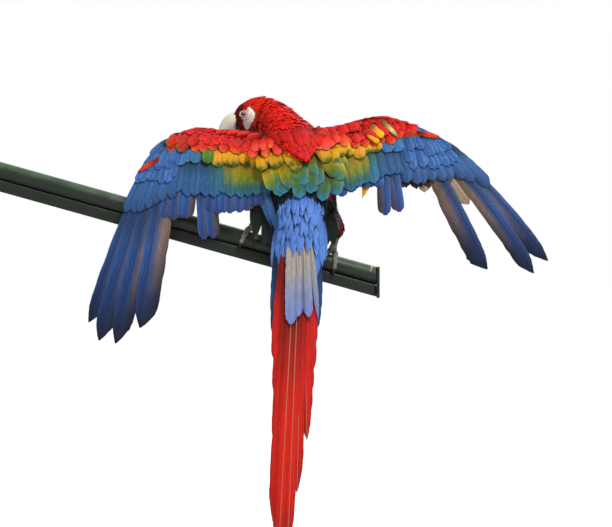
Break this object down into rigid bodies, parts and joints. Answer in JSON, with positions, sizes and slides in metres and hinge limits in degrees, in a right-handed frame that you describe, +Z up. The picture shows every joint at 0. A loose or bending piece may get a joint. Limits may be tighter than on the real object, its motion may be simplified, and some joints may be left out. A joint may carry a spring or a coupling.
{
  "type": "scarlet macaw display model on a perch and stand",
  "caption": "Life-size scarlet macaw seen gripping a cut length of sloping rail, wings half spread and long tail hanging, on a plain flat stand with one rod",
  "frame": {"origin": "on the underside of the stand's base, below the bird's body", "axes": "+Z up, +Y the way the bird faces, +X to the bird's right"},
  "size_m": [0.8803, 0.29, 0.763],
  "materials": {
    "red_plumage": "soft matt feathers, scarlet to crimson",
    "wing_plumage": "satin feathers, red, yellow, green and blue tiers",
    "tail_plumage": "satin feathers, red with blue edges",
    "ivory_horn": "smooth horn, ivory with a dark tip",
    "black_horn": "smooth black horn",
    "eye": "wet gloss, pale yellow iris and black pupil",
    "foot_skin": "dry grey scales",
    "perch_paint": "worn dark green paint",
    "perch_cap": "matt black",
    "stand_steel": "satin black",
    "stand_base": "satin black"
  },
  "bodies": {
    "root": {"head": "red_plumage", "neck": "red_plumage", "torso": "red_plumage", "tail": "tail_plumage", "wing_left_arm": "wing_plumage", "wing_left_hand": "wing_plumage", "wing_right_arm": "wing_plumage", "wing_right_hand": "wing_plumage", "thigh_left": "red_plumage", "thigh_right": "red_plumage", "bill_upper": "ivory_horn", "bill_lower": "black_horn", "eye_left": "eye", "eye_right": "eye", "foot_left": "foot_skin", "foot_right": "foot_skin", "perch_tube": "perch_paint", "perch_rail": "perch_paint", "perch_end_plate": "perch_cap", "stand_rod": "stand_steel", "stand_socket": "stand_steel", "stand_base": "stand_base", "claw_left_inner_front": "black_horn", "claw_left_outer_front": "black_horn", "claw_left_outer_rear": "black_horn", "claw_left_hind": "black_horn", "claw_right_inner_front": "black_horn", "claw_right_outer_front": "black_horn", "claw_right_outer_rear": "black_horn", "claw_right_hind": "black_horn"}
  },
  "joints": []
}
